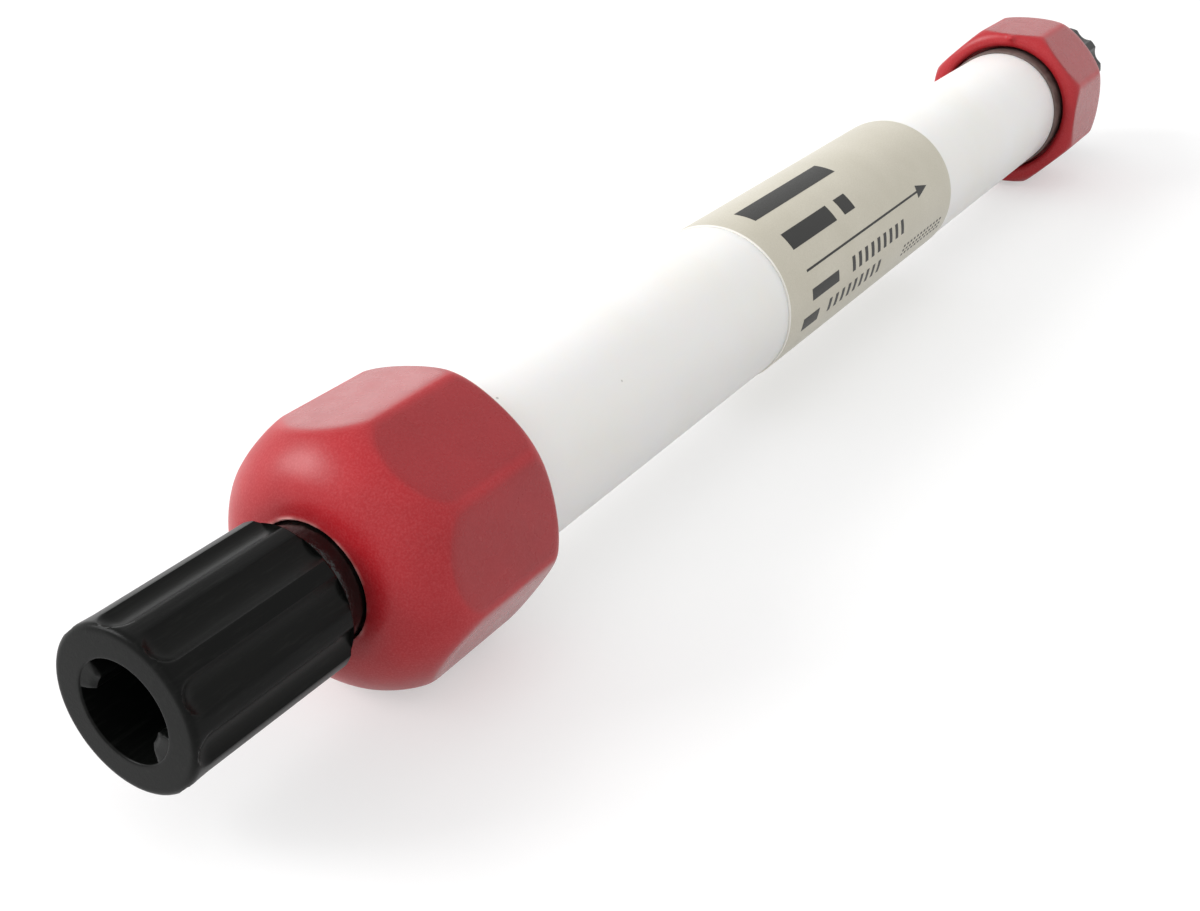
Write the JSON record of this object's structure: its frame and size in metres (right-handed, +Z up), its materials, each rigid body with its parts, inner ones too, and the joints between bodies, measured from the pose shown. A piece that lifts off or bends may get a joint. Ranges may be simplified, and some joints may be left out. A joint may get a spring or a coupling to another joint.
{
  "type": "liquid chromatography column",
  "caption": "Prepacked plastic chromatography column: white tube with a printed band, octagonal cap nuts and fluted screw-in stop plugs.",
  "frame": {"origin": "on the tube's axis, midway between the tube's two ends", "axes": "+X along the tube from the inlet to the outlet, +Z up with the column lying level on its two nuts' collars"},
  "size_m": [0.1443, 0.0168, 0.0168],
  "materials": {
    "tube_plastic": "satin moulded",
    "resin_beads": "packed fine beads",
    "label_film": "satin printed film",
    "guard_rubber": "matt",
    "nut_plastic": "satin moulded",
    "end_piece_plastic": "satin moulded",
    "seal_rubber": "matt",
    "frit_plastic": "sintered",
    "frit_ring_plastic": "satin",
    "slip_ring_plastic": "smooth",
    "plug_seal_plastic": "smooth",
    "plug_plastic": "satin, glossy neck"
  },
  "bodies": {
    "column": {"column_tube": "tube_plastic", "packed_bed": "resin_beads", "column_label": "label_film", "inlet_guard_ring": "guard_rubber", "outlet_guard_ring": "guard_rubber"},
    "inlet_fitting": {"inlet_end_piece": "end_piece_plastic", "inlet_end_seal": "seal_rubber", "inlet_frit": "frit_plastic", "inlet_frit_ring": "frit_ring_plastic", "inlet_slip_ring": "slip_ring_plastic"},
    "inlet_cap": {"inlet_nut": "nut_plastic"},
    "inlet_tip": {"inlet_plug_seal": "plug_seal_plastic"},
    "inlet_stopper": {"inlet_plug": "plug_plastic"},
    "outlet_fitting": {"outlet_end_piece": "end_piece_plastic", "outlet_end_seal": "seal_rubber", "outlet_frit": "frit_plastic", "outlet_frit_ring": "frit_ring_plastic", "outlet_slip_ring": "slip_ring_plastic"},
    "outlet_cap": {"outlet_nut": "nut_plastic"},
    "outlet_tip": {"outlet_plug_seal": "plug_seal_plastic"},
    "outlet_stopper": {"outlet_plug": "plug_plastic"}
  },
  "joints": [
    {"name": "inlet_nut_travel", "type": "slide", "parent": "column", "child": "inlet_fitting", "axis": [-1, 0, 0], "range_m": [0, 0.0035]},
    {"name": "inlet_nut_turn", "type": "hinge", "parent": "inlet_fitting", "child": "inlet_cap", "pos_m": [-0.055, 0, 0], "axis": [-1, 0, 0], "range_deg": [0, 840]},
    {"name": "inlet_plug_travel", "type": "slide", "parent": "inlet_fitting", "child": "inlet_tip", "axis": [-1, 0, 0], "range_m": [-0.0017, 0.0019]},
    {"name": "inlet_plug_turn", "type": "hinge", "parent": "inlet_tip", "child": "inlet_stopper", "pos_m": [-0.06, 0, 0], "axis": [-1, 0, 0], "range_deg": [-771.02, 861.73]},
    {"name": "outlet_nut_travel", "type": "slide", "parent": "column", "child": "outlet_fitting", "axis": [1, 0, 0], "range_m": [0, 0.0035]},
    {"name": "outlet_nut_turn", "type": "hinge", "parent": "outlet_fitting", "child": "outlet_cap", "pos_m": [0.055, 0, 0], "axis": [1, 0, 0], "range_deg": [0, 840]},
    {"name": "outlet_plug_travel", "type": "slide", "parent": "outlet_fitting", "child": "outlet_tip", "axis": [1, 0, 0], "range_m": [0, 0.0036]},
    {"name": "outlet_plug_turn", "type": "hinge", "parent": "outlet_tip", "child": "outlet_stopper", "pos_m": [0.06, 0, 0], "axis": [1, 0, 0], "range_deg": [0, 1632.76]}
  ],
  "couplings": [
    {"joint": "inlet_nut_turn", "follows": "inlet_nut_travel", "rad_per_m": 4188.8},
    {"joint": "inlet_plug_turn", "follows": "inlet_plug_travel", "rad_per_m": 7915.8},
    {"joint": "outlet_nut_turn", "follows": "outlet_nut_travel", "rad_per_m": 4188.8},
    {"joint": "outlet_plug_turn", "follows": "outlet_plug_travel", "rad_per_m": 7915.8}
  ]
}
